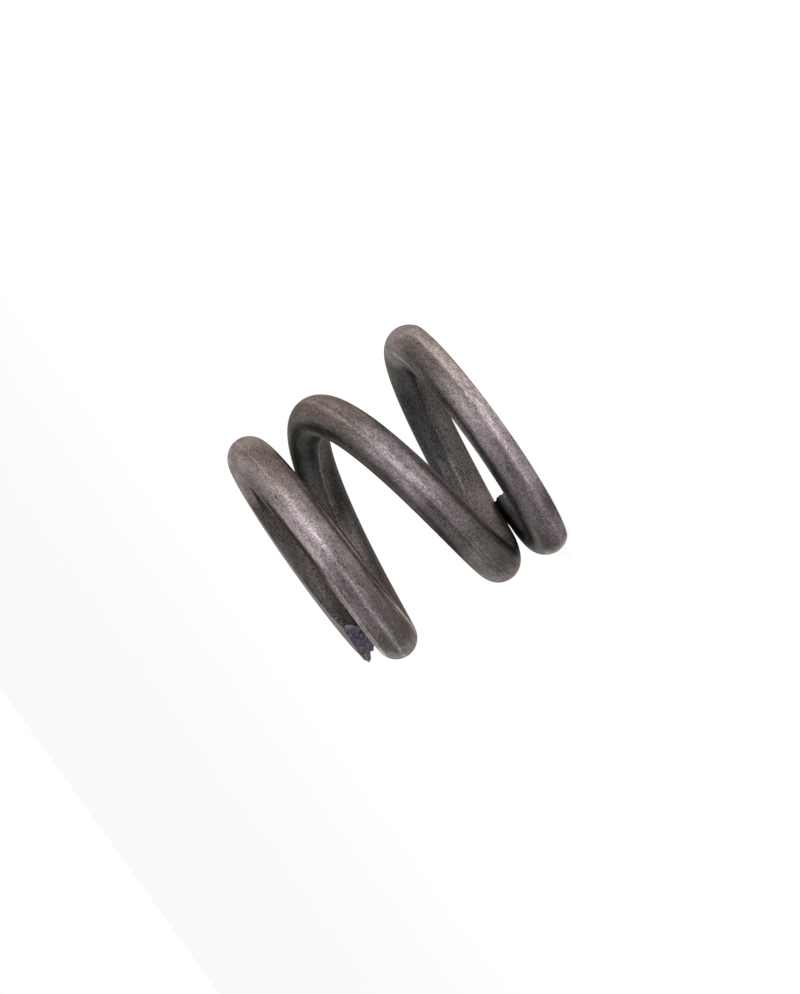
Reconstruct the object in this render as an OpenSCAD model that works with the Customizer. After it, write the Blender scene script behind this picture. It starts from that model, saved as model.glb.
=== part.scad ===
// Compression spring of thick round wire, wound right-handed.
// Both ends are closed against the next turn, bent out a little at the tip, and ground flat.
// The spring stands on its lower ground face, on the plane z = 0, with the coil axis on +Z.

/* [Wire] */
// Diameter of the wire
wire_d = 6; // [5:0.1:7]
// Angle at which the two ends are sheared off, the inside of the wire cut back further
shear_angle = 13; // [0:1:20]

/* [Coil] */
// Outer diameter of the two end coils
outer_d = 39; // [34:0.5:48]
// How far the turns between the end coils are drawn in, on the radius
waist = 0.7; // [0:0.05:1.5]
// Length of the unloaded spring, from one ground face to the other
free_length = 32.5; // [28:0.5:42]
// Turns of wire from tip to tip
total_turns = 3.05; // [2.9:0.01:3.4]
// Direction of the upper tip, anticlockwise from +X as seen from above
upper_tip_angle = 144; // [0:1:359]

/* [Closed ends] */
// Turns at each end that lie flat, before the wire starts to climb
flat_turns = 0.42; // [0.4:0.02:0.6]
// Turns over which the climb then grows to the full pitch, at the upper end
upper_blend = 0.86; // [0.4:0.01:0.9]
// Turns over which the climb then grows to the full pitch, at the lower end
lower_blend = 0.69; // [0.4:0.01:0.9]
// Turns over which a tip bends outwards, off the turn beside it
tip_turns = 0.34; // [0.2:0.01:0.4]
// Clearance between a tip and the turn beside it
tip_gap = 0.1; // [0.05:0.05:0.5]
// Depth ground off the flat turn at the upper end
upper_grind = 0.1; // [0.1:0.1:1.4]
// Depth ground off the flat turn at the lower end
lower_grind = 1; // [0.2:0.1:1.4]

/* [Smoothness] */
// Sides of the wire's round section
wire_sides = 24; // [12:4:24]
// Sections of wire from tip to tip
wire_steps = 222; // [120:2:248]

/* [Hidden] */

wire_r = wire_d / 2;
flat_r = outer_d / 2 - wire_r;

// Height of the wire's centre line over its own ground face, along each flat turn
upper_seat = wire_r - upper_grind;
lower_seat = wire_r - lower_grind;

// Advance of the coil in one full turn between the closed ends
half_turns = total_turns / 2;
pitch = (free_length - upper_seat - lower_seat)
    / (climb(half_turns, upper_blend) + climb(half_turns, lower_blend));

// How far each tip bends outwards, to clear the turn beside it
upper_lift = tip_lift(upper_blend);
lower_lift = tip_lift(lower_blend);

// Turns over which the slant of a sheared end fades out of the sections behind it
shear_turns = 0.1;

// Growth of the climb from 0 on the flat turns to 1, at g turns from a tip, over blend turns
function growth(g, blend) = max(0, min(1, (g - flat_turns) / blend));

// Share of the full pitch that the wire has at g turns from a tip
function climb_rate(g, blend) =
    let (u = growth(g, blend))
    u * u * (3 - 2 * u);

// Height climbed in g turns from a tip, in pitches: the sum of climb_rate up to there
function climb(g, blend) =
    let (u = growth(g, blend))
    blend * (pow(u, 3) - pow(u, 4) / 2) + max(0, g - flat_turns - blend);

// Mean radius of the coil at g turns from a tip
function turn_radius(g, blend) = flat_r - waist * climb_rate(g, blend);

// Slope of a wire that rises by rise in one turn of the given radius
function slope(rise, radius) = atan2(rise, 2 * PI * radius);

// The turn beside a tip slopes already, so the clearance is measured across its slope
function tip_lift(blend) =
    let (beside = slope(pitch * climb_rate(1, blend), turn_radius(1, blend)))
    (wire_d + tip_gap) / cos(beside) - pitch * climb(1, blend);

// Outward bend at g turns from a tip, and how much it changes in one turn
function tip_bend(g, lift) = lift * pow(max(0, 1 - g / tip_turns), 2);
function tip_bend_rate(g, lift) = 2 * lift / tip_turns * max(0, 1 - g / tip_turns);

// Height of the centre line over the ground face of its own end
function end_height(g, seat, blend, lift) = seat + pitch * climb(g, blend) - tip_bend(g, lift);

// The wire's section at t turns from the lower tip: a ring of points across the centre line
function wire_ring(t) =
    let (
        lower = t < half_turns,
        g = lower ? t : total_turns - t,
        blend = lower ? lower_blend : upper_blend,
        lift = lower ? lower_lift : upper_lift,
        height = lower
            ? end_height(g, lower_seat, blend, lift)
            : free_length - end_height(g, upper_seat, blend, lift),
        radius = turn_radius(g, blend),
        tilt = slope(pitch * climb_rate(g, blend) + tip_bend_rate(g, lift), radius),
        angle = upper_tip_angle - 360 * (total_turns - t),
        outwards = [cos(angle), sin(angle), 0],
        upwards = [sin(angle) * sin(tilt), -cos(angle) * sin(tilt), cos(tilt)],
        along = [-sin(angle) * cos(tilt), cos(angle) * cos(tilt), sin(tilt)],
        lean = (lower ? -1 : 1) * tan(shear_angle) * max(0, 1 - g / shear_turns)
    )
    [
        for (side = [0 : wire_sides - 1])
            let (a = 360 * side / wire_sides)
            radius * outwards
                + [0, 0, height]
                + wire_r * cos(a) * (outwards + lean * along)
                + wire_r * sin(a) * upwards
    ];

// The wire as one closed skin, from the lower sheared tip to the upper one
module coiled_wire() {
    points = [
        for (step = [0 : wire_steps])
            each wire_ring(total_turns * step / wire_steps)
    ];
    walls = [
        for (step = [0 : wire_steps - 1], side = [0 : wire_sides - 1])
            let (
                here = step * wire_sides,
                there = here + wire_sides,
                next = (side + 1) % wire_sides
            )
            [here + side, here + next, there + next, there + side]
    ];
    lower_tip = [for (side = [wire_sides - 1 : -1 : 0]) side];
    upper_tip = [for (side = [0 : wire_sides - 1]) wire_steps * wire_sides + side];
    polyhedron(points = points, faces = concat(walls, [lower_tip, upper_tip]), convexity = 10);
}

// The room between the planes of the two ground faces
module between_faces() {
    width = outer_d + wire_d;
    translate([-width / 2, -width / 2, 0])
        cube([width, width, free_length]);
}

module coil_spring() {
    color("dimgray")
        intersection() {
            coiled_wire();
            between_faces();
        }
}

coil_spring();
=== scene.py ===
"""Looks of a clutch spring: a short spring of thick round wire, closed and ground at both ends.

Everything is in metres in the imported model's frame: the coil axis on +Z, the lower ground face
on z = 0. Sizes in the classes are in millimetres and turns, as the part's own source has them.
"""
import logging
import math
from dataclasses import dataclass
from enum import Enum

import bpy
import numpy as np
from mathutils import Matrix, Vector


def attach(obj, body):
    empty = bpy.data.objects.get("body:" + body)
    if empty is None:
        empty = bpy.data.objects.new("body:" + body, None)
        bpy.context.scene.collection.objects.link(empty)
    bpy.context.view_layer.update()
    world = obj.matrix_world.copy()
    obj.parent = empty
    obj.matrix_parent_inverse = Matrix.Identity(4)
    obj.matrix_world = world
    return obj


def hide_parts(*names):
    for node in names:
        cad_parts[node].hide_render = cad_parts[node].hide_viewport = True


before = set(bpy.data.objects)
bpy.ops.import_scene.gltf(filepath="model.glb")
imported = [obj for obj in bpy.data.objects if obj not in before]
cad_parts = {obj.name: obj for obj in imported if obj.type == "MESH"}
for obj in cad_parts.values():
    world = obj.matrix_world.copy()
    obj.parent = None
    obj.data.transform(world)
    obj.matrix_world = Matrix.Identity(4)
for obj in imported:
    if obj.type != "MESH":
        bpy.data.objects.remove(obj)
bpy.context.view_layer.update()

MM = 0.001
TURN = 2 * math.pi
MIDDLE_HEIGHT = 0.01625
Triple = tuple[float, float, float]
Colour = Triple

log = logging.getLogger("clutch_spring")


# Shader maths


class Value:
    """A number that varies over a surface: Python's operators on it add Math nodes."""

    def __init__(self, book: "NodeBook", socket: bpy.types.NodeSocket) -> None:
        """Wraps an output socket.

        Args:
            book: the nodes that the socket belongs to.
            socket: the output that gives the number.
        """
        self.book = book
        self.socket = socket

    def math(self, operation: str, *others: "Value | float") -> "Value":
        """Adds a Math node with this value first.

        Args:
            operation: the Math node's operation.
            others: its further inputs.

        Returns:
            The node's result.
        """
        inputs = dict(enumerate((self, *others)))
        return self.book.add("ShaderNodeMath", {"operation": operation}, inputs)

    def __add__(self, other: "Value | float") -> "Value":
        """Returns self + other."""
        return self.math("ADD", other)

    __radd__ = __add__

    def __sub__(self, other: "Value | float") -> "Value":
        """Returns self - other."""
        return self.math("SUBTRACT", other)

    def __rsub__(self, other: float) -> "Value":
        """Returns other - self."""
        return self.math("MULTIPLY_ADD", -1.0, other)

    def __mul__(self, other: "Value | float") -> "Value":
        """Returns self * other."""
        return self.math("MULTIPLY", other)

    __rmul__ = __mul__

    def __truediv__(self, other: "Value | float") -> "Value":
        """Returns self / other."""
        return self.math("DIVIDE", other)

    def __abs__(self) -> "Value":
        """Returns self without its sign."""
        return self.math("ABSOLUTE")

    def step(self, start: float, end: float) -> "Value":
        """Adds a smooth step of this value; its end may be lower than its start.

        Args:
            start: where the result is 0.
            end: where the result is 1.

        Returns:
            The step.
        """
        low, high = min(start, end), max(start, end)
        settings = {"interpolation_type": "SMOOTHSTEP"}
        inputs = {"Value": self, "From Min": low, "From Max": high}
        rise = self.book.add("ShaderNodeMapRange", settings, inputs)
        return rise if start <= end else 1 - rise


class NodeBook:
    """The shader nodes of one material or world."""

    def __init__(self, tree: bpy.types.NodeTree) -> None:
        """Takes an empty node tree.

        Args:
            tree: the tree that the nodes go into.
        """
        self.tree = tree

    def make(self, kind: str, settings: dict | None = None, inputs: dict | None = None) -> bpy.types.Node:
        """Adds a node.

        Args:
            kind: the node's type.
            settings: its properties, set first.
            inputs: its sockets, by name or number, with a value, a Value or an output to link.

        Returns:
            The node.
        """
        node = self.tree.nodes.new(kind)
        for name, value in (settings or {}).items():
            setattr(node, name, value)
        for name, value in (inputs or {}).items():
            if isinstance(value, Value):
                value = value.socket
            if isinstance(value, bpy.types.NodeSocket):
                self.tree.links.new(value, node.inputs[name])
            else:
                socket = node.inputs[name]
                socket.default_value = (*value, 1.0) if socket.type == "RGBA" else value
        return node

    def add(self, kind: str, settings: dict | None = None, inputs: dict | None = None,
            output: str | int = 0) -> Value:
        """Adds a node and gives one of its outputs.

        Args:
            kind: the node's type.
            settings: its properties, as make() takes them.
            inputs: its sockets, as make() takes them.
            output: the output's name or number.

        Returns:
            The output, wrapped.
        """
        return Value(self, self.make(kind, settings, inputs).outputs[output])

    def stored(self, name: str, output: str = "Fac") -> Value:
        """Returns what the mesh holds under an attribute's name."""
        return self.add("ShaderNodeAttribute", {"attribute_name": name}, None, output)

    def stretched(self, place: Value, scale: Triple) -> Value:
        """Returns a place scaled along each axis, or a colour multiplied by another."""
        return self.add("ShaderNodeVectorMath", {"operation": "MULTIPLY"}, {0: place, 1: scale})

    def parts(self, vector: Value) -> tuple[Value, Value, Value]:
        """Returns a vector's three numbers."""
        node = self.make("ShaderNodeSeparateXYZ", None, {0: vector})
        return tuple(Value(self, output) for output in node.outputs)

    def scaled(self, colour: Value, gain: Value) -> Value:
        """Returns a colour made lighter or darker by a factor."""
        return self.add("ShaderNodeVectorMath", {"operation": "SCALE"}, {0: colour, "Scale": gain})

    def noise(self, place: Value, scale: float, detail: float = 2.0, roughness: float = 0.5) -> Value:
        """Returns a noise of about 0 to 1 at a place."""
        inputs = {"Vector": place, "Scale": scale, "Detail": detail, "Roughness": roughness}
        return self.add("ShaderNodeTexNoise", None, inputs)

    def blend(self, share: Value, first: Value | Colour, second: Value | Colour) -> Value:
        """Mixes two colours.

        Args:
            share: how much of the second colour there is.
            first: the colour at share 0.
            second: the colour at share 1.

        Returns:
            The mixed colour.
        """
        settings = {"data_type": "RGBA", "clamp_factor": True}
        return self.add("ShaderNodeMix", settings, {0: share, 6: first, 7: second}, 2)

    def bump(self, height: Value, distance: float, strength: float = 1.0) -> Value:
        """Returns a normal with a relief of the given height in metres per unit of height."""
        inputs = {"Height": height, "Distance": distance, "Strength": strength}
        return self.add("ShaderNodeBump", None, inputs)


def new_material(name: str) -> tuple[bpy.types.Material, NodeBook]:
    """Makes an empty node material.

    Args:
        name: the material's name.

    Returns:
        The material and the book of its nodes.
    """
    material = bpy.data.materials.new(name)
    material.use_nodes = True
    material.node_tree.nodes.clear()
    return material, NodeBook(material.node_tree)


# Finishes


@dataclass(frozen=True)
class Patch:
    """A place where the scale is made paler or darker, or tinted; many are painted light and shade.

    Lengths are in millimetres from the lower tip, angles in degrees round the wire from its
    outermost line towards the upper end. The strength is a factor on the brightness, or the
    share of a tint. The edges fade over the given softness.
    """

    length: float
    reach: float
    angle: float
    spread: float
    strength: float
    soft_length: float = 6.0
    soft_angle: float = 8.0

    def mask(self, along: Value, turn: Value) -> Value:
        """Marks the place on the wire.

        Args:
            along: the length from the lower tip, in metres.
            turn: the angle round the wire, in radians.

        Returns:
            1 inside the place, 0 outside it.
        """
        away = abs(along - self.length * MM)
        near = away.step((self.reach + self.soft_length) * MM, self.reach * MM)
        aside = abs(turn - math.radians(self.angle))
        return near * aside.step(math.radians(self.spread + self.soft_angle), math.radians(self.spread))


@dataclass(frozen=True)
class Streak:
    """A thin painted highlight line on the scale, that runs from one place on the wire to another.

    Lengths are in millimetres from the lower tip, angles in degrees as a patch has them. The gain
    is a factor on the brightness.
    """

    start: float
    end: float
    start_angle: float
    end_angle: float
    width: float
    gain: float
    soft_length: float = 3.0

    def mask(self, along: Value, turn: Value) -> Value:
        """Marks the line on the wire.

        Args:
            along: the length from the lower tip, in metres.
            turn: the angle round the wire, in radians.

        Returns:
            1 on the line, 0 off it.
        """
        slope = math.radians(self.end_angle - self.start_angle) / ((self.end - self.start) * MM)
        line = (along - self.start * MM) * slope + math.radians(self.start_angle)
        near = abs(turn - line).step(math.radians(self.width), 0.0)
        begun = along.step((self.start - self.soft_length) * MM, self.start * MM)
        return near * begun * along.step((self.end + self.soft_length) * MM, self.end * MM)


@dataclass(frozen=True)
class Tint:
    """A painted tint of coloured light and reflection that multiplies the scale's own colour, and the
    places where it does.
    """

    colour: Colour
    places: tuple[Patch, ...]


@dataclass(frozen=True)
class TemperedScale:
    """Dark oil-tempered scale of the drawn wire: brown-grey satin, worn paler in places outside.

    The side that faces the coil's axis was wound on the mandrel. It is painted darker as shade, in
    two tones split by a painted shadow edge, and so are its flanks. The rollers left a thin burnished
    line along the outside and another along the inside. Painted light and shade lie over the rest.
    Scales are the spots of noise in a metre of wire, and pairs are where a change begins and ends.
    """

    dark: Colour = (0.138, 0.119, 0.114)
    worn: Colour = (0.210, 0.180, 0.181)
    # The next three colours are painted shade: the flanks, and the two tones of the side towards the axis
    flank_shade: Colour = (0.117, 0.110, 0.099)
    upper_inside_shade: Colour = (0.066, 0.057, 0.055)
    lower_inside_shade: Colour = (0.100, 0.085, 0.081)
    burnished: Colour = (0.170, 0.147, 0.134)
    rim: Colour = (0.47, 0.45, 0.43)
    roughness: float = 0.42
    inner_line: float = math.radians(-5)
    outer_line: float = math.radians(10)
    line_width: float = math.radians(3)
    inner_wander: float = 0.12
    outer_wander: float = 0.10
    flank_lag: float = 0.15
    flank_edge: tuple[float, float] = (math.radians(40), math.radians(95))
    inside_edge: tuple[float, float] = (math.radians(70), math.radians(112))
    inner_line_fades: tuple[float, float] = (0.25, 0.29)
    outer_line_grows: tuple[float, float] = (0.06, 0.12)
    speckle_scale: float = 5200.0
    grain_scale: float = 2400.0
    fleck_scale: float = 1700.0
    break_scale: float = 900.0
    cloud_scale: float = 380.0
    inner_wander_scale: float = 160.0
    patch_scale: float = 110.0
    darkest: float = 0.3
    relief: float = 0.00003
    # Each patch: length, reach, angle, spread, strength, then how soft its two edges are
    # The patches are partly rubs and scratches and partly painted light and shade: darker ones paint
    # shade on the flanks and between the turns, paler ones paint light where more falls
    lower_rubs_and_painted_light: tuple[Patch, ...] = (
        Patch(5, 7, 148, 14, 2.5, 4, 6),
        # Painted contact shadow where the lower tip presses on the turn beside it
        Patch(9, 6, 115, 12, 0.46, 4, 6),
        Patch(16, 2, -5, 40, 2.45, 3, 15),
        Patch(20, 6, 66, 16, 1.25, 4, 8),
        # Painted light: paler places on the lower turns' sides towards the floor, here and at 40 to 50 mm
        Patch(20, 5, -30, 20, 1.60, 4, 10),
        Patch(28, 6, 28, 16, 0.74, 5, 12),
        Patch(33, 5, -28, 14, 0.64, 5, 10),
        Patch(27, 7, 82, 9, 0.60, 6, 5),
        Patch(38, 6, 31, 6, 1.20, 5, 6),
        Patch(40, 4, -8, 9, 1.40, 4, 5),
        Patch(40, 4, 85, 8, 1.35, 4, 4),
        Patch(48, 4, 66, 5, 1.45, 4, 4),
        Patch(44, 7, 8, 4, 0.72, 6, 5),
        Patch(45, 10, -23, 15, 1.90, 6, 8),
        Patch(50, 10, -22, 14, 1.30, 6, 6),
        Patch(48, 5, 50, 5, 0.60, 4, 5),
        Patch(41, 6, 60, 6, 0.60, 6, 5),
        Patch(50, 10, 86, 8, 1.30, 6, 4),
        Patch(52, 6, 91, 6, 0.30, 5, 4),
        Patch(56, 4, 27, 18, 0.70, 4, 8),
        Patch(64, 3, 45, 80, 1.85, 4, 12),
        Patch(69, 5, 150, 40, 1.35),
        Patch(82, 6, 174, 6, 1.20, 5, 5),
        Patch(97, 3, 149, 9, 1.85, 4, 4),
        Patch(88, 8, 112, 8, 0.80, 8, 6),
        Patch(108, 10, -104, 8, 1.50, 6, 6),
    )
    # Partly rubs, partly painted light and shade, as above
    middle_rubs_and_painted_light: tuple[Patch, ...] = (
        Patch(110, 8, -142, 38, 1.50),
        Patch(121, 2, 12, 36, 1.55, 4, 10),
        Patch(129, 4, -17, 31, 0.57, 5, 8),
        Patch(127, 3, 62, 8, 1.40, 4, 6),
        Patch(137, 3, 34, 20, 0.60, 3, 8),
        Patch(145, 6, 15, 6, 0.70, 6, 5),
        Patch(142, 16, 68, 8, 0.78, 8, 8),
        Patch(140, 12, -50, 8, 1.25, 8, 8),
        Patch(147, 4, 2, 30, 1.35, 4, 10),
        Patch(156, 4, 24, 24, 0.72, 4, 8),
        Patch(165, 5, -8, 24, 1.35, 5, 10),
        Patch(160, 4, 115, 10, 1.70, 5, 8),
        Patch(165, 5, 86, 8, 0.74, 4, 6),
        Patch(168, 5, 142, 42, 1.60, 5, 15),
        Patch(174, 5, 174, 10, 1.50, 5, 6),
        Patch(179, 9, 98, 8, 0.45, 5, 6),
        Patch(186, 4, -158, 18, 0.72, 4, 8),
        Patch(194, 3, -156, 18, 1.30, 4, 6),
        Patch(204, 6, -166, 12, 1.60, 6, 6),
    )
    # Partly rubs and scratches, partly painted light and shade, as above
    upper_rubs_and_painted_light: tuple[Patch, ...] = (
        Patch(219, 5, -4, 80, 1.85, 4, 10),
        Patch(233, 10, 11, 4, 1.30, 8, 4),
        Patch(234, 4, -26, 18, 0.64, 5, 8),
        Patch(236, 5, 28, 6, 0.78, 5, 6),
        Patch(231, 7, 74, 15, 2.50, 5, 6),
        Patch(227, 3, -80, 10, 2.00, 4, 5),
        Patch(232, 9, -66, 4, 1.60, 5, 4),
        # Painted shade on the upper turn's flanks, beside the dark bore
        Patch(252, 9, 88, 12, 0.17, 6, 5),
        Patch(249, 4, 69, 7, 0.38, 4, 4),
        Patch(249, 4, 52, 5, 1.40, 4, 4),
        Patch(249, 6, -75, 10, 0.28, 6, 5),
        Patch(249, 7, -56, 4, 2.10, 5, 4),
        Patch(244, 7, -42, 3, 0.76, 5, 4),
        Patch(249, 5, 30, 9, 1.65, 6, 12),
        Patch(249, 6, -16, 18, 1.20, 6, 12),
        Patch(259, 3, -14, 30, 0.74, 4, 8),
        Patch(267, 4, 10, 80, 1.45, 4, 20),
        Patch(267, 4, 55, 20, 1.30, 4, 10),
        Patch(272, 8, 114, 22, 3.20, 5, 8),
        Patch(279, 4, 158, 12, 0.52, 4, 6),
        Patch(306, 10, 165, 12, 0.76, 6, 8),
        Patch(312, 2, -18, 20, 0.72, 2, 8),
    )
    # Painted highlights: thin light lines along the turns' edges and down the front of the middle turn
    highlight_streaks: tuple[Streak, ...] = (
        Streak(34, 62, 88, 72, 4.5, 2.2),
        Streak(18, 24, 84, 80, 4.0, 1.8),
        Streak(221, 238, -92, -47, 3.5, 3.4, 2.0),
        Streak(120, 154, 0, -4, 6.0, 1.3),
    )
    # Painted tints of coloured light and reflection, not the scale's own colour: lilac on highlights,
    # warm on some bends and cool on others
    painted_light_tints: tuple[Tint, ...] = (
        Tint((0.90, 1.00, 1.07), (
            Patch(6, 8, 135, 40, 1.0),
            Patch(80, 12, 150, 45, 0.9, 8, 12),
        )),
        Tint((0.88, 1.00, 1.00), (
            Patch(46, 14, 76, 12, 1.0, 6, 6),
            Patch(140, 14, 76, 8, 0.6, 6, 6),
            Patch(173, 11, 120, 60, 1.0, 8, 12),
            Patch(186, 5, -140, 20, 0.6, 4, 8),
            Patch(312, 3, -18, 20, 0.8, 3, 8),
            Patch(22, 8, 20, 50, 0.7, 6, 15),
            Patch(126, 4, 10, 40, 0.3, 6, 15),
            Patch(229, 6, 20, 40, 0.4, 6, 15),
        )),
        Tint((1.03, 1.00, 1.09), (
            Patch(33, 8, 5, 34, 0.9, 6, 12),
            Patch(144, 5, 5, 40, 0.7, 6, 12),
            Patch(232, 8, 72, 24, 0.8, 8, 12),
            Patch(244, 8, 26, 30, 0.7, 8, 12),
        )),
        Tint((1.08, 1.00, 0.94), (
            Patch(58, 6, 10, 30, 0.7, 6, 12),
            Patch(163, 6, -5, 40, 1.0, 6, 12),
            Patch(237, 5, -45, 30, 0.5, 6, 12),
            Patch(262, 6, -10, 40, 1.0, 6, 12),
        )),
    )

    def inside(self, book: NodeBook, drawn: Value, outer: Value) -> Value:
        """Paints shade on the side that faces the coil's axis, in two tones, and on its flanks.

        Args:
            book: the material's nodes.
            drawn: the place on the straight wire.
            outer: the colour of the outside.

        Returns:
            The colour all round the wire.
        """
        outwards, upwards, along = book.parts(drawn)
        wander = book.noise(book.stretched(drawn, (0, 0, 1)), self.inner_wander_scale) - 0.5
        turn = (upwards * -1).math("ARCTAN2", outwards * -1) + wander * self.inner_wander
        # Painted shade: the side towards the axis in two tones, split at a painted shadow edge
        side = (turn - self.inner_line).step(-self.line_width, self.line_width)
        inner = book.blend(side, self.upper_inside_shade, self.lower_inside_shade)
        # Painted shade on the flanks between the inside and the outside
        flank_shade = (abs(turn) + self.flank_lag * side).step(*self.flank_edge)
        colour = book.blend(flank_shade, inner, self.flank_shade)
        colour = book.blend(abs(turn).step(*self.inside_edge), colour, outer)
        line = abs(turn - self.inner_line).step(self.line_width, 0.0)
        broken = book.noise(book.stretched(drawn, (1, 1, 0.25)), self.break_scale).step(0.38, 0.60)
        faint = 0.75 - 0.5 * along.step(*self.inner_line_fades)
        return book.blend(line * broken * faint, colour, self.burnished)

    def tinted(self, book: NodeBook, drawn: Value, plain: Value) -> Value:
        """Tints the scale with painted coloured light and reflection at some places.

        Args:
            book: the material's nodes.
            drawn: the place on the straight wire.
            plain: the colour without tints.

        Returns:
            The tinted colour.
        """
        outwards, upwards, along = book.parts(drawn)
        turn = upwards.math("ARCTAN2", outwards)
        colour = plain
        for tint in self.painted_light_tints:
            changed = book.stretched(plain, tint.colour)
            for place in tint.places:
                colour = book.blend(place.mask(along, turn) * place.strength, colour, changed)
        return colour

    def wear_and_painted_light(self, book: NodeBook, drawn: Value, cloud: Value) -> Value:
        """Works out how much paler or darker the scale is made: burnished lines, rubs, painted highlights
        and painted light and shade.

        Args:
            book: the material's nodes.
            drawn: the place on the straight wire.
            cloud: a noise that breaks up the paler and darker places.

        Returns:
            The factor on the colour, 1 where nothing changes it.
        """
        outwards, upwards, along = book.parts(drawn)
        wander = book.noise(book.stretched(drawn, (0, 0, 1)), self.patch_scale) - 0.5
        turn = upwards.math("ARCTAN2", outwards) + wander * self.outer_wander
        line = abs(turn - self.outer_line).step(self.line_width * 2, 0.0)
        growing = 0.3 + 0.7 * along.step(*self.outer_line_grows)
        factor = 1 + line * (0.2 + cloud * 0.5) * growing
        # Painted highlight lines
        for streak in self.highlight_streaks:
            highlight = (streak.gain - 1) * (0.6 + cloud * 0.8)
            factor = factor * (1 + streak.mask(along, turn) * highlight)
        # Rubs, and painted light and shade
        for patch_mark in self.lower_rubs_and_painted_light + self.middle_rubs_and_painted_light + self.upper_rubs_and_painted_light:
            patch_extra = (patch_mark.strength - 1) * (0.7 + cloud * 0.6)
            factor = factor * (1 + patch_mark.mask(along, turn) * patch_extra)
        return factor

    def build(self) -> bpy.types.Material:
        """Makes the material, laid out on the wire as it was before it was coiled.

        Returns:
            The material.
        """
        material, book = new_material("tempered_scale")
        drawn = book.stored("drawn", "Vector")
        speckle = book.noise(drawn, self.speckle_scale, 1.0, 0.6)
        grain = book.noise(book.stretched(drawn, (1, 1, 0.6)), self.grain_scale, 2.0, 0.55)
        fleck = book.noise(book.stretched(drawn, (1, 1, 0.3)), self.fleck_scale, 3.0, 0.6)
        fleck = fleck.step(0.58, 0.74)
        cloud = book.noise(book.stretched(drawn, (1, 1, 0.45)), self.cloud_scale, 3.0, 0.55)
        patch = book.noise(book.stretched(drawn, (1, 1, 0.7)), self.patch_scale)
        tone = (cloud * 0.5 + patch * 0.5 + fleck * 0.2).step(0.35, 0.85)
        # Painted shade inside and on the flanks, then painted tints of coloured light and reflection
        colour = self.inside(book, drawn, book.blend(tone, self.dark, self.worn))
        colour = self.tinted(book, drawn, colour)
        fine = (speckle - 0.5) * 2.3 + (grain - 0.5) * 1.0 + (cloud - 0.5) * 0.9
        rougher = 1 + 0.25 * book.stored("inside")
        gain = (1 + fine * rougher + (patch - 0.5) * 0.4 + fleck * 0.15).math("MAXIMUM", self.darkest)
        colour = book.scaled(colour, gain * self.wear_and_painted_light(book, drawn, cloud))
        rough = self.roughness + (grain - 0.5) * 0.15 + (cloud - 0.5) * 0.12
        shader = book.add("ShaderNodeBsdfPrincipled", None, {
            "Base Color": colour,
            "Metallic": 1.0,
            "Roughness": rough,
            "Normal": book.bump(grain * 0.6 + speckle * 0.4, self.relief, 0.6),
            "Specular Tint": self.rim,
        })
        book.make("ShaderNodeOutputMaterial", None, {"Surface": shader})
        return material


@dataclass(frozen=True)
class GroundSteel:
    """Bare steel of a ground face, with the fine scratches that the wheel left."""

    pale: Colour = (0.285, 0.264, 0.256)
    dull: Colour = (0.10, 0.090, 0.086)
    rim: Colour = (0.50, 0.485, 0.48)
    roughness: float = 0.42
    scratch_scale: float = 6500.0
    speckle_scale: float = 5200.0
    stain_scale: float = 900.0
    relief: float = 0.00002

    def build(self) -> bpy.types.Material:
        """Makes the material, with its scratches straight across the whole end.

        Returns:
            The material.
        """
        material, book = new_material("ground_steel")
        place = book.add("ShaderNodeTexCoord", None, None, "Object")
        across = book.noise(book.stretched(place, (0.06, 1, 1)), self.scratch_scale, 3.0, 0.7)
        stain = book.noise(place, self.stain_scale, 3.0, 0.6)
        speckle = book.noise(place, self.speckle_scale, 1.0, 0.6)
        tone = (across * 0.3 + stain * 0.3 + speckle * 0.4).step(0.43, 0.58)
        shader = book.add("ShaderNodeBsdfPrincipled", None, {
            "Base Color": book.blend(tone, self.dull, self.pale),
            "Metallic": 1.0,
            "Roughness": self.roughness + (stain - 0.5) * 0.2,
            "Normal": book.bump(across, self.relief, 0.7),
            "Specular Tint": self.rim,
        })
        book.make("ShaderNodeOutputMaterial", None, {"Surface": shader})
        return material


@dataclass(frozen=True)
class ShearedSteel:
    """The end face where the wire was sheared hot: torn grain with blue and purple tints."""

    blue: Colour = (0.070, 0.067, 0.090)
    purple: Colour = (0.092, 0.068, 0.080)
    lilac: Colour = (0.125, 0.105, 0.122)
    burnt: Colour = (0.030, 0.016, 0.034)
    rim: Colour = (0.6, 0.6, 0.6)
    roughness: float = 0.45
    wire_r: float = 3.0
    tear_scale: float = 2600.0
    burn_scale: float = 1500.0
    darkest: float = 0.3
    relief: float = 0.00005

    def build(self) -> bpy.types.Material:
        """Makes the material, tinted in bands across the end face.

        Returns:
            The material.
        """
        material, book = new_material("sheared_steel")
        drawn = book.stored("drawn", "Vector")
        outwards, upwards, _ = book.parts(drawn)
        across, up = outwards / (self.wire_r * MM), upwards / (self.wire_r * MM)
        tear = book.noise(book.stretched(drawn, (1, 0.4, 1)), self.tear_scale, 3.0, 0.6)
        bands = (across * 0.5 + up * 0.6 + (tear - 0.5) * 0.9).step(-0.5, 0.3)
        edge = (across + (tear - 0.5) * 0.8).step(-0.62, -0.86)
        colour = book.blend(edge, book.blend(bands, self.blue, self.purple), self.lilac)
        burnt = book.noise(drawn, self.burn_scale, 2.0, 0.6).step(0.55, 0.62) * across.step(0.0, -0.4)
        colour = book.blend(burnt * 0.9, colour, self.burnt)
        colour = book.scaled(colour, (1 + (tear - 0.5) * 1.1).math("MAXIMUM", self.darkest))
        shader = book.add("ShaderNodeBsdfPrincipled", None, {
            "Base Color": colour,
            "Metallic": 1.0,
            "Roughness": self.roughness + (tear - 0.5) * 0.3,
            "Normal": book.bump(tear, self.relief, 0.8),
            "Specular Tint": self.rim,
        })
        book.make("ShaderNodeOutputMaterial", None, {"Surface": shader})
        return material


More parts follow.
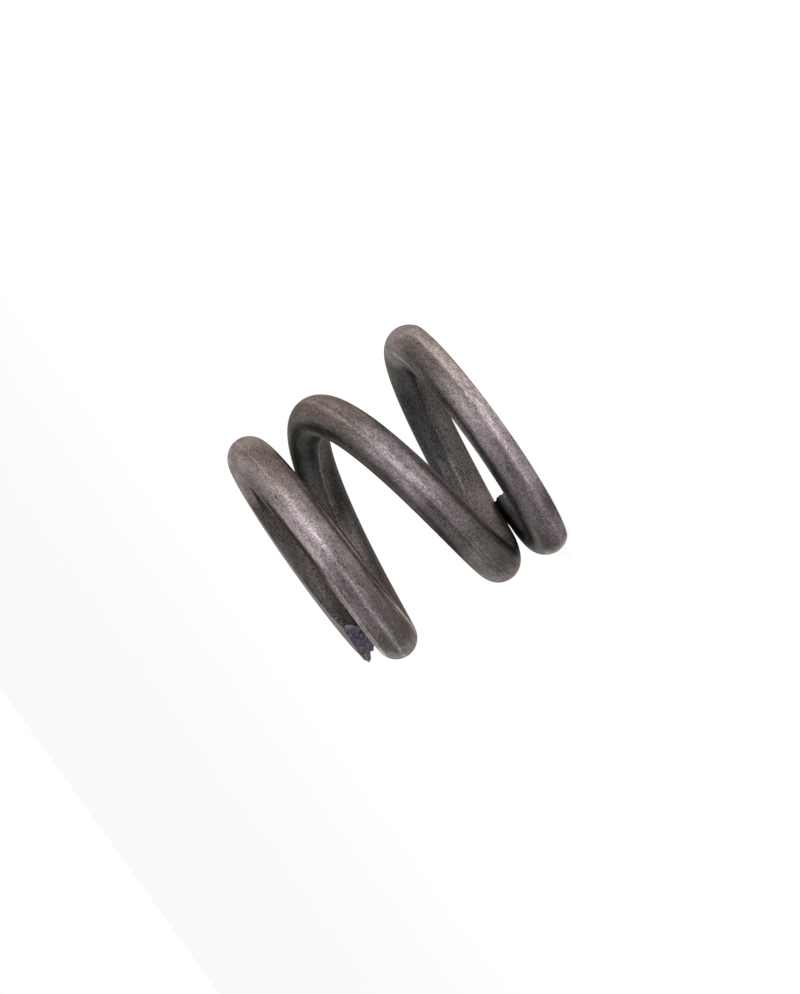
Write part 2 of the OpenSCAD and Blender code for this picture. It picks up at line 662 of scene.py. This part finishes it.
class Finish(Enum):
    """The finishes of the wire, in the order of its material slots."""

    SCALE = TemperedScale()
    GROUND = GroundSteel()
    SHEARED = ShearedSteel()

    @property
    def slot(self) -> int:
        """Returns the number of the finish's material slot."""
        return list(Finish).index(self)


# The wire


def smooth(value: np.ndarray, start: float, end: float) -> np.ndarray:
    """Returns a smooth step of value, 0 at start and 1 at end; end may be the lower one."""
    u = np.clip((value - start) / (end - start), 0, 1)
    return u * u * (3 - 2 * u)


def ripple(places: np.ndarray, size: float, seed: int, waves: int = 12) -> np.ndarray:
    """Adds up waves into a relief.

    Args:
        places: the points, one a row.
        size: about how far apart the bumps are, in the unit of the places.
        seed: what the waves are drawn from.
        waves: how many there are.

    Returns:
        The relief at each point, mostly within -1 to 1.
    """
    rng = np.random.default_rng(seed)
    total = np.zeros(len(places))
    for _ in range(waves):
        heading = rng.normal(size=places.shape[1])
        heading *= TURN / size * rng.uniform(0.6, 1.7) / np.linalg.norm(heading)
        total += np.sin(places @ heading + rng.uniform(0, TURN))
    return total / math.sqrt(waves)


@dataclass
class Sections:
    """Cross-sections of the wire, one a row: where each is and which way it faces.

    The wheel's plane cuts a section at its height over the centre line, with its slant across.
    """

    turns: np.ndarray
    centre: np.ndarray
    outwards: np.ndarray
    upwards: np.ndarray
    run: np.ndarray
    wheel_height: np.ndarray
    wheel_slant: np.ndarray
    cosine: np.ndarray

    @property
    def length(self) -> np.ndarray:
        """Returns the length of wire from the lower tip to each section."""
        strides = np.linalg.norm(np.diff(self.centre, axis=0), axis=1)
        return np.concatenate([[0], np.cumsum(strides)])


@dataclass(frozen=True)
class CoilLaw:
    """The line that the wire follows, with the values of the part's source.

    From dip on, the values are this one spring's own, in millimetres. The wheel dipped deeper at
    the upper tip. The lower tip is pressed against the turn beside it, from the first length of
    press_end to the full press at the second, and that turn sags about its sag_place.
    """

    wire_d: float = 6.0
    shear_angle: float = 13.0
    outer_d: float = 39.0
    waist: float = 0.7
    free_length: float = 32.5
    total_turns: float = 3.05
    upper_tip_angle: float = 144.0
    flat_turns: float = 0.42
    upper_blend: float = 0.86
    lower_blend: float = 0.69
    tip_turns: float = 0.34
    tip_gap: float = 0.1
    upper_grind: float = 0.1
    lower_grind: float = 1.0
    shear_turns: float = 0.1
    dip: float = 0.28
    dip_length: float = 5.5
    press: float = 0.16
    press_slope: float = 0.030
    press_end: tuple[float, float] = (24.0, 5.0)
    sag: float = 0.26
    sag_place: float = 111.5
    sag_reach: float = 5.0

    @property
    def half_turns(self) -> float:
        """Returns the turns from a tip to the middle of the wire."""
        return self.total_turns / 2

    @property
    def flat_r(self) -> float:
        """Returns the mean radius of the end coils."""
        return (self.outer_d - self.wire_d) / 2

    @property
    def seats(self) -> tuple[float, float]:
        """Returns the centre line's height over the ground face at the upper and lower end."""
        return self.wire_d / 2 - self.upper_grind, self.wire_d / 2 - self.lower_grind

    @property
    def pitch(self) -> float:
        """The coil's advance in one full turn between the closed ends.

        Returns:
            The advance, in millimetres.
        """
        half = self.half_turns
        climbed = self.climb(half, self.upper_blend) + self.climb(half, self.lower_blend)
        return (self.free_length - sum(self.seats)) / float(climbed)

    @property
    def turn_length(self) -> float:
        """Returns the length of wire in one flat turn."""
        return TURN * self.flat_r

    def climb_rate(self, grown: np.ndarray | float, blend: np.ndarray | float) -> np.ndarray:
        """Returns the share of the full pitch at so many turns from a tip."""
        return smooth(grown - self.flat_turns, 0, blend)

    def climb(self, grown: np.ndarray | float, blend: np.ndarray | float) -> np.ndarray:
        """Returns the height climbed from a tip, in pitches."""
        u = np.clip((grown - self.flat_turns) / blend, 0, 1)
        return blend * (u ** 3 - u ** 4 / 2) + np.maximum(0, grown - self.flat_turns - blend)

    def radius(self, grown: np.ndarray | float, blend: np.ndarray | float) -> np.ndarray:
        """Returns the coil's mean radius at so many turns from a tip."""
        return self.flat_r - self.waist * self.climb_rate(grown, blend)

    def tip_lift(self, blend: float) -> float:
        """Returns how far a tip bends outwards, to clear the turn beside it."""
        beside = np.arctan2(self.pitch * self.climb_rate(1, blend), TURN * self.radius(1, blend))
        return float((self.wire_d + self.tip_gap) / np.cos(beside) - self.pitch * self.climb(1, blend))

    def sections(self, turns: np.ndarray) -> Sections:
        """Places cross-sections on the wire.

        Args:
            turns: the turns from the lower tip to each section.

        Returns:
            The sections.
        """
        upper = turns >= self.half_turns
        grown = np.where(upper, self.total_turns - turns, turns)
        blend = np.where(upper, self.upper_blend, self.lower_blend)
        lift = np.where(upper, self.tip_lift(self.upper_blend), self.tip_lift(self.lower_blend))
        bent = np.maximum(0, 1 - grown / self.tip_turns)
        height = np.where(upper, *self.seats) + self.pitch * self.climb(grown, blend) - lift * bent ** 2
        radius = self.radius(grown, blend)
        rise = self.pitch * self.climb_rate(grown, blend) + 2 * lift / self.tip_turns * bent
        tilt = np.arctan2(rise, TURN * radius)
        angle = np.radians(self.upper_tip_angle) - TURN * (self.total_turns - turns)
        out = np.stack([np.cos(angle), np.sin(angle), 0 * angle], 1)
        up = np.stack([np.sin(angle) * np.sin(tilt), -np.cos(angle) * np.sin(tilt), np.cos(tilt)], 1)
        along = np.stack([-np.sin(angle) * np.cos(tilt), np.cos(angle) * np.cos(tilt), np.sin(tilt)], 1)
        lean = np.where(upper, 1, -1) * np.tan(np.radians(self.shear_angle))
        lean = lean * np.maximum(0, 1 - grown / self.shear_turns)
        centre = radius[:, None] * out
        centre[:, 2] = np.where(upper, self.free_length - height, height) + self.settled(turns)
        dipped = self.dip * np.exp(-grown * self.turn_length / self.dip_length)
        wheel = height - np.where(upper, dipped, 0)
        wheel += np.where(upper, 0, self.settled(turns))
        return Sections(turns, centre, out + lean[:, None] * along, up, along, wheel,
                        lean * np.sin(tilt), np.cos(tilt))

    def settled(self, turns: np.ndarray) -> np.ndarray:
        """Works out how far the wire is pressed up or down by the turn beside it.

        Args:
            turns: the turns from the lower tip.

        Returns:
            The height over the plain line, below 0 on the turn beside the tip.
        """
        length = turns * self.turn_length
        pressed = (self.press + self.press_slope * length) * smooth(length, *self.press_end)
        return pressed - self.sag * np.exp(-((length - self.sag_place) / self.sag_reach) ** 2)


@dataclass(frozen=True)
class Tear:
    """How shearing and grinding left one tip, in millimetres off the plain form.

    Places are outwards and towards the wheel in the tip's section, and back from the tip. The
    inner edge is rolled over, the face is torn and runs askew, the outer corner at the wheel has
    broken off, and beside it a lump of burr stands out. The side away from the wheel may be a
    little swollen, and the wheel left a jagged lip. An edge or a side is where a form begins and
    where it is full, and a depth is how far back from the tip it reaches.
    """

    seed: int
    wire_r: float = 3.0
    relief: float = 0.10
    relief_depth: float = 0.5
    coarse_grain: float = 1.1
    fine_grain: float = 0.45
    fine_share: float = 0.5
    grain_stretch: float = 0.4
    roll: float = 0.30
    roll_edge: tuple[float, float] = (-1.5, -3.0)
    roll_depth: float = 1.6
    broken: float = 0.48
    broken_edge: tuple[float, float] = (1.6, 2.9)
    broken_depth: float = 3.0
    broken_rise: float = 1.0
    skew: float = 0.27
    skew_line: float = 0.4
    skew_depth: float = 4.0
    burr: float = 0.75
    burr_place: tuple[float, float] = (2.85, -0.95)
    burr_size: float = 0.50
    burr_edge: tuple[float, float] = (1.1, 0.3)
    burr_depth: float = 1.0
    burr_past: float = 0.3
    burr_torn: float = 0.2
    burr_rim: float = 0.15
    notch: float = 0.85
    notch_place: tuple[float, float] = (2.5, -1.8)
    notch_size: float = 0.38
    notch_depth: float = 1.2
    swell: float = 0.0
    swell_side: tuple[float, float] = (-1.2, -2.9)
    swell_edge: tuple[float, float] = (4.6, 3.0)
    lip: float = 0.08
    lip_size: float = 0.30
    lip_grain: float = 0.8
    lip_edge: tuple[float, float] = (16.0, 6.0)

    def shift(self, out: np.ndarray, up: np.ndarray, back: np.ndarray, wheel: np.ndarray) -> np.ndarray:
        """Works out how far points near the tip move.

        Args:
            out: places outwards in the section.
            up: places towards the wheel in the section.
            back: places along the wire, back from the tip.
            wheel: the height of the wheel's plane over the centre line.

        Returns:
            The moves outwards, towards the wheel and along the wire past the tip.
        """
        here = back < self.lip_edge[0]
        place = np.stack([out, up, back * self.grain_stretch], -1)[here]
        out, up, back, wheel = out[here], up[here], back[here], wheel[here]
        torn = ripple(place, self.coarse_grain, self.seed)
        torn = torn + self.fine_share * ripple(place, self.fine_grain, self.seed + 1)
        past = self.relief * torn * smooth(back, self.relief_depth, 0.0)
        past -= self.roll * smooth(out, *self.roll_edge) * smooth(back, self.roll_depth, 0.0)
        past += self.skew * (self.skew_line - up) * smooth(back, self.skew_depth, 0.0)
        corner = smooth(up, wheel.min() - self.broken_rise, wheel.min())
        corner = smooth(out, *self.broken_edge) * corner
        past -= self.broken * corner * smooth(back, self.broken_depth, 0.0)
        lump = self.mound(out, up, self.burr_place, self.burr_size)
        past += self.burr_past * self.burr * lump * smooth(back, self.burr_depth, 0.0)
        aside = self.burr * (1 + self.burr_torn * torn) * lump * smooth(back, *self.burr_edge)
        notch = self.mound(out, up, self.notch_place, self.notch_size)
        past -= self.notch * notch * smooth(back, self.notch_depth, 0.0)
        chord = np.sqrt(np.maximum(self.wire_r ** 2 - wheel ** 2, 0.0))
        lip = self.mound(out, up, (-chord, wheel), self.lip_size)
        jag = ripple(np.stack([back, 0 * back], -1), self.lip_grain, self.seed + 2)
        aside -= self.lip * lip * (jag * smooth(back, *self.lip_edge))
        swollen = self.swell * smooth(up, *self.swell_side) * smooth(back, *self.swell_edge)
        moves = np.zeros((len(here), 3))
        moves[here] = np.stack([aside, -swollen, past], -1)
        return moves

    def keeps_scale(self, out: np.ndarray, up: np.ndarray) -> np.ndarray:
        """Returns where the end face keeps the wire's scale, on the lump of burr."""
        return self.mound(out, up, self.burr_place, self.burr_size) > self.burr_rim

    @staticmethod
    def mound(out: np.ndarray, up: np.ndarray, place: tuple, size: float) -> np.ndarray:
        """Returns a round hump, 1 in the middle, at a place in the section."""
        return np.exp(-((out - place[0]) ** 2 + (up - place[1]) ** 2) / size ** 2)


@dataclass
class Skin:
    """The wire's skin as it is laid out on the straight wire.

    Each point has its place there and the row of its section; each face has its corners and the
    slot of its finish.
    """

    places: np.ndarray
    rows: np.ndarray
    faces: list[tuple[int, ...]]
    slots: np.ndarray

    def add_points(self, places: np.ndarray, row: int) -> np.ndarray:
        """Adds points.

        Args:
            places: their places, one a row.
            row: the row of their section.

        Returns:
            The numbers of the points.
        """
        first = len(self.places)
        self.places = np.concatenate([self.places, places])
        self.rows = np.concatenate([self.rows, np.full(len(places), row)])
        return np.arange(first, len(self.places))

    def add_faces(self, corners: np.ndarray, turned: bool, finish: Finish) -> None:
        """Adds faces.

        Args:
            corners: the numbers of their points, one face a row.
            turned: whether they look the other way.
            finish: what they are made of.
        """
        self.faces += [tuple(face[::-1] if turned else face) for face in corners.tolist()]
        self.slots = np.concatenate([self.slots, np.full(len(corners), finish.slot)])


@dataclass(frozen=True)
class SpringWire:
    """The coiled wire as one closed skin: round all along, flat where each end is ground.

    A row of points is one cross-section, and the rows' spacings are in turns. A ground face has
    soft edges of the given width, and its second column is edge_growth edges in. Its columns are
    spaced evenly where half the face is under widest_tight edges. The inset keeps the skin a hair
    inside the solid, narrowest is half the angle of the narrowest flat, and swing_turns is half
    the stretch on which the columns swing over from the lower wheel to the upper one.
    """

    law: CoilLaw = CoilLaw()
    upper_tear: Tear = Tear(seed=11)
    lower_tear: Tear = Tear(seed=23, broken=0.2, burr=0.15, notch=0.1, roll=0.10, skew=0.10, swell=0.13)
    rows: int = 880
    tip_rows: int = 19
    tip_spacing: float = 0.0016
    rim_rows: tuple[float, float] = (0.0004, 0.0010)
    closest_rows: float = 0.0003
    round_columns: int = 64
    flat_columns: int = 20
    edge: float = 0.07
    edge_growth: float = 2.2
    widest_tight: float = 3.0
    tight_share: float = 0.9
    inset: float = 0.008
    narrowest: float = math.radians(3.5)
    swing_turns: float = 0.55
    cap_loops: int = 18
    smallest_loop: float = 0.05

    @property
    def wire_r(self) -> float:
        """Returns the wire's radius, a hair under the solid's so that it stays inside it."""
        return self.law.wire_d / 2 - self.inset

    def on_round(self, angle: np.ndarray) -> np.ndarray:
        """Returns points of the wire's round at some angles."""
        return self.wire_r * np.stack([np.cos(angle), np.sin(angle)], -1)

    def across(self, chord: np.ndarray) -> np.ndarray:
        """Spaces points across the ground flat, closer together at its edges.

        Args:
            chord: half the flat's width in each section.

        Returns:
            The points' distances from its middle, one section a row.
        """
        second = self.edge_growth * self.edge
        inner = [share * (chord - second) for share in np.linspace(-1, 1, self.flat_columns)]
        spaced = np.stack([self.edge - chord, *inner, chord - self.edge], 1)
        tight = chord < self.widest_tight * self.edge
        even = np.linspace(-self.tight_share, self.tight_share, spaced.shape[1])
        spaced[tight] = even[None] * chord[tight, None]
        return spaced

    def columns(self, sections: Sections) -> tuple[np.ndarray, np.ndarray, np.ndarray]:
        """Finds the places of the skin's points in each section.

        The columns start on one side of the ground flat, cross it, and go round the wire. Where
        nothing is ground off they stay on the round, so that every row has the same columns.

        Args:
            sections: the cross-sections.

        Returns:
            Each point's place outwards and upwards in its section, and which columns are ground.
        """
        reach = np.hypot(sections.cosine, sections.wheel_slant) * self.wire_r
        phase = np.arctan2(sections.wheel_slant, sections.cosine)
        half = np.arccos(np.clip(sections.wheel_height / reach, -1, 1))
        cut = half > self.narrowest
        half = np.maximum(half, self.narrowest)
        swing = smooth((sections.turns - self.law.half_turns) / self.swing_turns / 2 + 0.5, 0, 1)
        middle = -math.pi / 2 + math.pi * swing - phase

        first, second = self.edge / self.wire_r, self.edge_growth * self.edge / self.wire_r
        steps = np.concatenate([[first, second], np.zeros(self.round_columns), [-second, -first]])
        shares = np.linspace(0, 1, self.round_columns + 2)[1:-1]
        shares = np.concatenate([[0, 0], shares, [1, 1]])
        length = TURN - 2 * half
        around = self.on_round((middle + half)[:, None] + shares[None] * length[:, None] + steps[None])

        spaced = self.across(self.wire_r * np.sin(half))
        towards = np.stack([-np.sin(middle), np.cos(middle)], -1)
        outward = np.stack([np.cos(middle), np.sin(middle)], -1)
        depth = self.wire_r * np.cos(half)
        flat = outward[:, None] * depth[:, None, None] + towards[:, None] * spaced[:, :, None]
        free = self.on_round(middle[:, None] + np.arcsin(np.clip(spaced / self.wire_r, -1, 1)))
        where_cut = cut[:, None, None]
        flat = np.where(where_cut, flat, free)
        near = self.on_round(middle - half)[:, None]
        far = self.on_round(middle + half)[:, None]
        near = np.where(where_cut, 0.5 * near + 0.25 * flat[:, :1] + 0.25 * around[:, -1:], near)
        far = np.where(where_cut, 0.5 * far + 0.25 * flat[:, -1:] + 0.25 * around[:, :1], far)
        points = np.concatenate([near, flat, far, around], 1)
        ground = np.zeros(points.shape[:2], bool)
        ground[:, 1:1 + flat.shape[1]] = cut[:, None]
        return points[..., 0], points[..., 1], ground

    def turn_steps(self) -> np.ndarray:
        """Spaces the rows, closer together at the two tips.

        Returns:
            The turns from the lower tip to each row.
        """
        even = np.linspace(0, self.law.total_turns, self.rows)
        near = np.arange(1, self.tip_rows + 1) * self.tip_spacing
        near = np.concatenate([self.rim_rows, near])
        rows = np.sort(np.concatenate([even, near, self.law.total_turns - near]))
        return rows[np.concatenate([[True], np.diff(rows) > self.closest_rows])]

    def laid_out(self, sections: Sections) -> Skin:
        """Lays the skin out on the straight wire.

        Args:
            sections: the cross-sections.

        Returns:
            The closed skin.
        """
        out, up, ground = self.columns(sections)
        count, columns = out.shape
        places = np.stack([out, up, np.broadcast_to(sections.length[:, None], out.shape)], -1)
        here = np.arange(count * columns).reshape(count, columns)
        beside = np.roll(here, -1, 1)
        quads = np.stack([here[:-1], beside[:-1], beside[1:], here[1:]], -1).reshape(-1, 4)
        flat = ground & np.roll(ground, -1, 1)
        slots = np.where(flat[:-1] & flat[1:], Finish.GROUND.slot, Finish.SCALE.slot).ravel()
        faces = [tuple(quad) for quad in quads.tolist()]
        skin = Skin(places.reshape(-1, 3), np.repeat(np.arange(count), columns), faces, slots)
        self.close(skin, 0, True)
        self.close(skin, count - 1, False)
        return skin

    def close(self, skin: Skin, row: int, turned: bool) -> None:
        """Closes one end of the skin, in loops from the rim to the middle.

        Args:
            skin: the skin.
            row: the row at that end.
            turned: whether its face looks back along the wire.
        """
        loop = np.flatnonzero(skin.rows == row)
        rim = skin.places[loop]
        middle = rim.mean(0)
        radius = self.law.wire_d / 2
        outermost = 1 - self.edge / radius
        second = 1 - self.edge_growth * self.edge / radius
        for scale in (outermost, *np.linspace(second, self.smallest_loop, self.cap_loops)):
            inner = skin.add_points(middle + (rim - middle) * scale, row)
            ring = np.stack([loop, np.roll(loop, -1), np.roll(inner, -1), inner], -1)
            skin.add_faces(ring, turned, Finish.SHEARED)
            loop = inner
        centre = skin.add_points(middle[None], row)
        fan = np.stack([loop, np.roll(loop, -1), np.repeat(centre, len(loop))], -1)
        skin.add_faces(fan, turned, Finish.SHEARED)

    def coiled(self, skin: Skin, sections: Sections) -> np.ndarray:
        """Puts the skin's points on the coil, with what shearing and grinding left.

        Args:
            skin: the skin on the straight wire.
            sections: the cross-sections.

        Returns:
            The points, in millimetres.
        """
        out, up, along = skin.places.T
        wheel = sections.wheel_height[skin.rows]
        left = sections.length[-1] - along
        # At the lower tip the wheel is below, and past the tip is back along the wire
        shift = self.lower_tear.shift(out, -up, along, wheel) * (1, -1, -1)
        shift += self.upper_tear.shift(out, up, left, wheel)
        moved = skin.places + shift
        points = (sections.centre[skin.rows] + moved[:, :1] * sections.outwards[skin.rows]
                  + moved[:, 1:2] * sections.upwards[skin.rows]
                  + shift[:, 2:] * sections.run[skin.rows])
        points[:, 2] = np.clip(points[:, 2], 0, self.law.free_length)
        return points

    def keep_scale(self, skin: Skin) -> None:
        """Gives the lump of burr on the upper end face the wire's scale.

        Args:
            skin: the closed skin.
        """
        first = np.array([face[0] for face in skin.faces])
        burr = self.upper_tear.keeps_scale(*skin.places[first, :2].T)
        burr &= (skin.rows[first] == skin.rows.max()) & (skin.slots == Finish.SHEARED.slot)
        skin.slots[burr] = Finish.SCALE.slot

    def build(self) -> bpy.types.Object:
        """Builds the skin, with where each point was on the straight wire.

        Returns:
            The wire's object.
        """
        sections = self.law.sections(self.turn_steps())
        skin = self.laid_out(sections)
        self.keep_scale(skin)
        mesh = bpy.data.meshes.new("coiled_wire")
        mesh.from_pydata((self.coiled(skin, sections) * MM).tolist(), [], skin.faces)
        mesh.polygons.foreach_set("material_index", skin.slots.tolist())
        mesh.polygons.foreach_set("use_smooth", [True] * len(skin.faces))
        drawn = mesh.attributes.new("drawn", "FLOAT_VECTOR", "POINT")
        drawn.data.foreach_set("vector", (skin.places * MM).astype(np.float32).ravel())
        facing = np.clip(-skin.places[:, 0] / self.wire_r, 0, 1)
        inside = mesh.attributes.new("inside", "FLOAT", "POINT")
        inside.data.foreach_set("value", facing.astype(np.float32))
        for finish in Finish:
            mesh.materials.append(finish.value.build())
        mesh.update()
        wire = bpy.data.objects.new("coiled_wire", mesh)
        bpy.context.collection.objects.link(wire)
        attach(wire, "root")
        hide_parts("coil_spring")
        return wire


# Studio


@dataclass(frozen=True)
class SoftBox:
    """A rectangular lamp that looks at the spring from one side."""

    name: str
    direction: Triple
    distance: float
    width: float
    height: float
    level: float

    def build(self, target: Vector) -> bpy.types.Object:
        """Hangs the lamp.

        Args:
            target: the point that the lamp looks at.

        Returns:
            The lamp. Its level is the brightness of its face, where 1 is white.
        """
        lamp = bpy.data.lights.new(self.name, "AREA")
        lamp.shape = "RECTANGLE"
        lamp.size, lamp.size_y = self.width, self.height
        lamp.energy = self.level * math.pi * self.width * self.height
        lamp_object = bpy.data.objects.new(self.name, lamp)
        away = Vector(self.direction).normalized()
        lamp_object.location = target + away * self.distance
        lamp_object.rotation_euler = away.to_track_quat("Z", "Y").to_euler()
        bpy.context.collection.objects.link(lamp_object)
        return lamp_object


@dataclass(frozen=True)
class Studio:
    """Pale floor, white surroundings and soft lamps round the spring."""

    floor_side: float = 40.0
    floor_grey: float = 0.80
    surround: float = 0.25
    floor_glow: float = 0.75
    boxes: tuple[SoftBox, ...] = (
        SoftBox("key_box", (0.27, -0.96, 0.08), 0.9, 0.60, 0.40, 3.2),
        SoftBox("side_box", (0.80, -0.60, 0.08), 0.9, 0.45, 0.40, 2.4),
        SoftBox("upper_box", (0.50, -0.70, 0.50), 0.9, 0.60, 0.35, 1.5),
        SoftBox("far_side_box", (1.0, 0.0, 0.10), 0.9, 0.40, 0.40, 1.2),
        SoftBox("top_box", (0.05, 0.0, 1.0), 0.9, 0.40, 0.40, 1.6),
    )

    @staticmethod
    def seen(book: NodeBook) -> Value:
        """Marks the rays that look at the surroundings directly, or in gloss and glass.

        Args:
            book: the nodes of the material or world.

        Returns:
            1 for those rays, 0 for the others.
        """
        kinds = book.make("ShaderNodeLightPath")
        seen = Value(book, kinds.outputs["Is Camera Ray"])
        for kind in ("Is Glossy Ray", "Is Transmission Ray"):
            seen = seen.math("MAXIMUM", Value(book, kinds.outputs[kind]))
        return seen

    def floor(self) -> bpy.types.Object:
        """Lays the floor, white to the camera but for the spring's soft shadow.

        Returns:
            The floor.
        """
        half = self.floor_side / 2
        corners = [(-half, -half, 0), (half, -half, 0), (half, half, 0), (-half, half, 0)]
        mesh = bpy.data.meshes.new("studio_floor")
        mesh.from_pydata(corners, [], [(0, 1, 2, 3)])
        material, book = new_material("pale_floor")
        grey = (self.floor_grey,) * 3
        matt = book.add("ShaderNodeBsdfDiffuse", None, {"Color": grey})
        glow = book.add("ShaderNodeEmission", None, {"Color": (1, 1, 1), "Strength": self.floor_glow})
        both = book.add("ShaderNodeAddShader", None, {0: matt, 1: glow})
        shown = book.add("ShaderNodeMixShader", None, {0: self.seen(book), 1: matt, 2: both})
        book.make("ShaderNodeOutputMaterial", None, {"Surface": shown})
        mesh.materials.append(material)
        floor = bpy.data.objects.new("studio_floor", mesh)
        bpy.context.collection.objects.link(floor)
        return floor

    def surroundings(self) -> None:
        """Makes the world a plain white room."""
        world = bpy.data.worlds.new("studio")
        world.use_nodes = True
        world.node_tree.nodes.clear()
        book = NodeBook(world.node_tree)
        level = self.seen(book) * (1 - self.surround) + self.surround
        back = book.add("ShaderNodeBackground", None, {"Color": (1, 1, 1), "Strength": level})
        book.make("ShaderNodeOutputWorld", None, {"Surface": back})
        bpy.context.scene.world = world

    def build(self) -> None:
        """Builds the floor, the surroundings and the lamps."""
        self.floor()
        self.surroundings()
        for box in self.boxes:
            box.build(Vector((0, 0, MIDDLE_HEIGHT)))


@dataclass(frozen=True)
class PhotoCamera:
    """The photograph's own view: the spring lies across the picture, seen almost square on."""

    roll: float = 125.640
    elevation: float = 5.8354
    distance: float = 0.62342
    picture: tuple[int, int] = (800, 994)
    focal_px: float = 4436.1
    middle_px: tuple[float, float] = (394.363, 498.084)
    sensor: float = 36.0
    clip: tuple[float, float] = (0.01, 100.0)

    def build(self) -> bpy.types.Object:
        """Sets up the camera.

        Returns:
            The camera, which is also the scene's.
        """
        roll, up_angle = math.radians(self.roll), math.radians(self.elevation)
        axis = Vector((0, math.sin(up_angle), math.cos(up_angle)))
        side = Vector((1, 0, 0))
        right = math.cos(roll) * side - math.sin(roll) * axis
        up = math.sin(roll) * side + math.cos(roll) * axis
        back = Vector((0, -math.cos(up_angle), math.sin(up_angle)))
        width, height = self.picture
        metres_per_px = self.distance / self.focal_px
        off_right = (width / 2 - self.middle_px[0]) * metres_per_px
        off_up = (self.middle_px[1] - height / 2) * metres_per_px
        data = bpy.data.cameras.new("photo_camera")
        data.sensor_width = self.sensor
        data.lens = self.focal_px * self.sensor / max(self.picture)
        data.clip_start, data.clip_end = self.clip
        camera = bpy.data.objects.new("photo_camera", data)
        middle = Vector((0, 0, MIDDLE_HEIGHT))
        place = middle + back * self.distance + right * off_right + up * off_up
        turn = Matrix((right, up, back)).transposed()
        camera.matrix_world = Matrix.Translation(place) @ turn.to_4x4()
        bpy.context.collection.objects.link(camera)
        bpy.context.scene.camera = camera
        return camera


def main() -> None:
    """Builds the spring, then the studio and the camera."""
    logging.basicConfig(level=logging.INFO, format="%(name)s: %(message)s")
    bpy.context.scene.view_settings.view_transform = "Standard"
    wire = SpringWire().build()
    log.info("coiled_wire: %d faces", len(wire.data.polygons))
    Studio().build()
    log.info("studio: floor, surroundings and lamps")
    camera = PhotoCamera().build()
    log.info("camera: lens %.1f mm", camera.data.lens)


if __name__ == "__main__":
    main()
